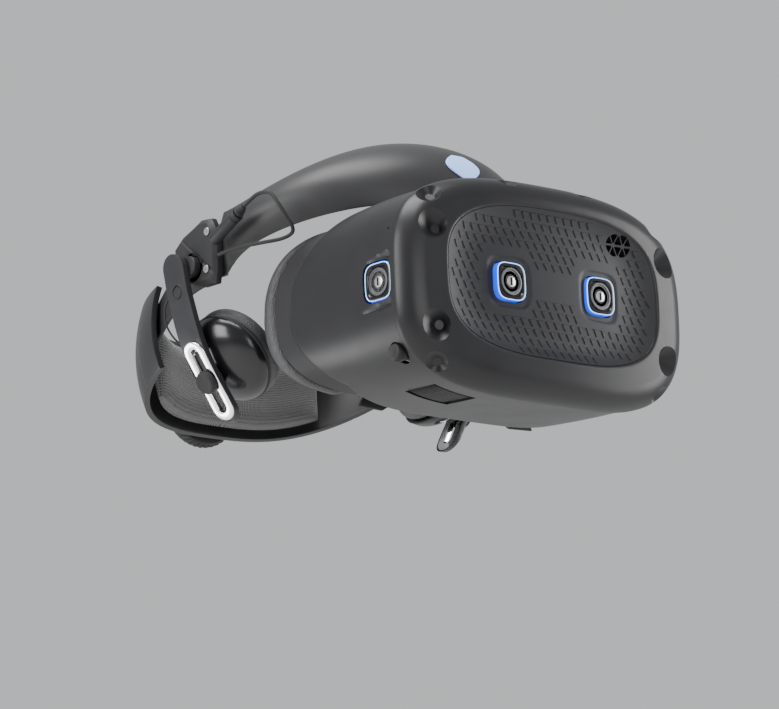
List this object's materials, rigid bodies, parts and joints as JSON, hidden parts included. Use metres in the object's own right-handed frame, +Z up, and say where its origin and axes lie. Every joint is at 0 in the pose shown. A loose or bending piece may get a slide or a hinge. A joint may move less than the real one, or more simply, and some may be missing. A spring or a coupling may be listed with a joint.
{
  "type": "vr headset",
  "caption": "Flip-up head-mounted display with camera windows, halo headband, rear cradle with a size dial and sprung earphones on slotted arms.",
  "frame": {"origin": "middle of the footprint at the lowest point of the visor", "axes": "+X to the wearer's left, +Y to the back of the head, +Z up"},
  "size_m": [0.21, 0.2874, 0.1537],
  "materials": {
    "halo_shell": "satin",
    "halo_liner": "matte",
    "forehead_pad": "satin",
    "halo_badge": "satin",
    "hinge_bracket": "matte",
    "hinge_pin": "satin",
    "side_bracket_right": "matte",
    "side_bracket_left": "matte",
    "side_rail_right": "matte",
    "side_rail_left": "matte",
    "headphone_jack": "matte",
    "headphone_plug": "matte",
    "headphone_lead": "matte",
    "cable_inlet": "matte",
    "main_housing": "satin",
    "side_camera_right": "gloss",
    "side_camera_left": "gloss",
    "side_camera_right_ring": "lit",
    "side_camera_left_ring": "lit",
    "vent_grille": "matte",
    "lens_frame": "matte",
    "mainboard": "satin",
    "fan_housing": "matte",
    "face_gasket": "matte",
    "face_cushion": "satin",
    "nose_flap": "matte",
    "hinge_leaf": "satin",
    "fan_rotor": "matte",
    "faceplate_shell": "satin",
    "faceplate_panel": "matte",
    "sensor_board": "satin",
    "front_camera_right": "gloss",
    "front_camera_left": "gloss",
    "front_camera_right_ring": "lit",
    "front_camera_left_ring": "lit",
    "ipd_knob": "matte",
    "headset_button": "matte",
    "rear_shell": "satin",
    "rear_pad": "matte",
    "size_dial": "matte",
    "lens_barrel_right": "matte",
    "display_right": "gloss",
    "lens_right": "gloss",
    "ear_hinge_right": "matte",
    "ear_arm_right": "satin",
    "slot_insert_right": "polished",
    "ear_slider_right": "matte",
    "ear_cup_right": "gloss",
    "ear_driver_right": "matte",
    "ear_pad_right": "satin",
    "lens_barrel_left": "matte",
    "display_left": "gloss",
    "lens_left": "gloss",
    "ear_hinge_left": "matte",
    "ear_arm_left": "satin",
    "slot_insert_left": "polished",
    "ear_slider_left": "matte",
    "ear_cup_left": "gloss",
    "ear_driver_left": "matte",
    "ear_pad_left": "satin"
  },
  "bodies": {
    "headband": {"halo_shell": "halo_shell", "halo_liner": "halo_liner", "forehead_pad": "forehead_pad", "halo_badge": "halo_badge", "hinge_bracket": "hinge_bracket", "hinge_pin": "hinge_pin", "side_bracket_right": "side_bracket_right", "side_bracket_left": "side_bracket_left", "side_rail_right": "side_rail_right", "side_rail_left": "side_rail_left", "headphone_jack": "headphone_jack", "headphone_plug": "headphone_plug", "headphone_lead": "headphone_lead", "cable_inlet": "cable_inlet"},
    "visor": {"main_housing": "main_housing", "side_camera_right": "side_camera_right", "side_camera_left": "side_camera_left", "side_camera_right_ring": "side_camera_right_ring", "side_camera_left_ring": "side_camera_left_ring", "vent_grille": "vent_grille", "lens_frame": "lens_frame", "mainboard": "mainboard", "fan_housing": "fan_housing", "face_gasket": "face_gasket", "face_cushion": "face_cushion", "nose_flap": "nose_flap", "hinge_leaf": "hinge_leaf"},
    "fan": {"fan_rotor": "fan_rotor"},
    "faceplate": {"faceplate_shell": "faceplate_shell", "faceplate_panel": "faceplate_panel", "sensor_board": "sensor_board", "front_camera_right": "front_camera_right", "front_camera_left": "front_camera_left", "front_camera_right_ring": "front_camera_right_ring", "front_camera_left_ring": "front_camera_left_ring"},
    "ipd": {"ipd_knob": "ipd_knob"},
    "button": {"headset_button": "headset_button"},
    "rear": {"rear_shell": "rear_shell", "rear_pad": "rear_pad"},
    "dial": {"size_dial": "size_dial"},
    "lens_right": {"lens_barrel_right": "lens_barrel_right", "display_right": "display_right", "lens_right": "lens_right"},
    "ear_swing_right": {"ear_hinge_right": "ear_hinge_right"},
    "ear_lift_right": {"ear_arm_right": "ear_arm_right", "slot_insert_right": "slot_insert_right"},
    "ear_slide_right": {"ear_slider_right": "ear_slider_right"},
    "ear_tilt_right": {"ear_cup_right": "ear_cup_right", "ear_driver_right": "ear_driver_right", "ear_pad_right": "ear_pad_right"},
    "lens_left": {"lens_barrel_left": "lens_barrel_left", "display_left": "display_left", "lens_left": "lens_left"},
    "ear_swing_left": {"ear_hinge_left": "ear_hinge_left"},
    "ear_lift_left": {"ear_arm_left": "ear_arm_left", "slot_insert_left": "slot_insert_left"},
    "ear_slide_left": {"ear_slider_left": "ear_slider_left"},
    "ear_tilt_left": {"ear_cup_left": "ear_cup_left", "ear_driver_left": "ear_driver_left", "ear_pad_left": "ear_pad_left"}
  },
  "joints": [
    {"name": "visor_flip", "type": "hinge", "parent": "headband", "child": "visor", "pos_m": [0, -0.08943, 0.1144], "axis": [-1, 0, 0], "range_deg": [0, 88]},
    {"name": "faceplate_off", "type": "slide", "parent": "visor", "child": "faceplate", "axis": [0, -1, 0], "range_m": [0, 0.04]},
    {"name": "fan_spin", "type": "hinge", "parent": "visor", "child": "fan", "pos_m": [0, -0.11643, 0.0822], "axis": [0, 1, 0], "continuous": true},
    {"name": "ipd_turn", "type": "hinge", "parent": "visor", "child": "ipd", "pos_m": [-0.086, -0.11743, 0.0197], "axis": [-1, 0, 0], "range_deg": [-95, 95]},
    {"name": "lens_left_slide", "type": "slide", "parent": "visor", "child": "lens_left", "axis": [1, 0, 0], "range_m": [-0.00275, 0.00275]},
    {"name": "lens_right_slide", "type": "slide", "parent": "visor", "child": "lens_right", "axis": [-1, 0, 0], "range_m": [-0.00275, 0.00275]},
    {"name": "headset_button_press", "type": "slide", "parent": "visor", "child": "button", "axis": [-1, 0, 0], "range_m": [0, 0.001], "stiffness_N_per_m": 600, "springref_m": -0.001},
    {"name": "rear_size", "type": "slide", "parent": "headband", "child": "rear", "axis": [0, 1, 0], "range_m": [0, 0.012]},
    {"name": "dial_turn", "type": "hinge", "parent": "rear", "child": "dial", "pos_m": [0, 0.13157, 0.0522], "axis": [0, 1, 0], "range_deg": [0, 95]},
    {"name": "ear_swing_right_joint", "type": "hinge", "parent": "headband", "child": "ear_swing_right", "pos_m": [-0.086, 0.02757, 0.0917], "axis": [1, 0, 0], "range_deg": [-3, 20]},
    {"name": "ear_lift_right_joint", "type": "hinge", "parent": "ear_swing_right", "child": "ear_lift_right", "pos_m": [-0.1002, 0.03417, 0.0992], "axis": [0, 1, 0], "range_deg": [0, 25]},
    {"name": "ear_height_right_joint", "type": "slide", "parent": "ear_lift_right", "child": "ear_slide_right", "axis": [0.5011, -0.0698, -0.8626], "range_m": [-0.004, 0.008]},
    {"name": "ear_tilt_right_joint", "type": "hinge", "parent": "ear_slide_right", "child": "ear_tilt_right", "pos_m": [-0.0841, 0.02617, 0.0385], "axis": [0, -1, 0], "range_deg": [0, 6]},
    {"name": "ear_swing_left_joint", "type": "hinge", "parent": "headband", "child": "ear_swing_left", "pos_m": [0.086, 0.02757, 0.0917], "axis": [1, 0, 0], "range_deg": [-3, 20]},
    {"name": "ear_lift_left_joint", "type": "hinge", "parent": "ear_swing_left", "child": "ear_lift_left", "pos_m": [0.1002, 0.03417, 0.0992], "axis": [0, -1, 0], "range_deg": [0, 25]},
    {"name": "ear_height_left_joint", "type": "slide", "parent": "ear_lift_left", "child": "ear_slide_left", "axis": [-0.5011, -0.0698, -0.8626], "range_m": [-0.004, 0.008]},
    {"name": "ear_tilt_left_joint", "type": "hinge", "parent": "ear_slide_left", "child": "ear_tilt_left", "pos_m": [0.0841, 0.02617, 0.0385], "axis": [0, 1, 0], "range_deg": [0, 6]}
  ],
  "couplings": [
    {"joint": "ipd_turn", "follows": "lens_left_slide", "rad_per_m": 571},
    {"joint": "lens_right_slide", "follows": "lens_left_slide", "ratio": 1},
    {"joint": "dial_turn", "follows": "rear_size", "rad_per_m": 133}
  ]
}
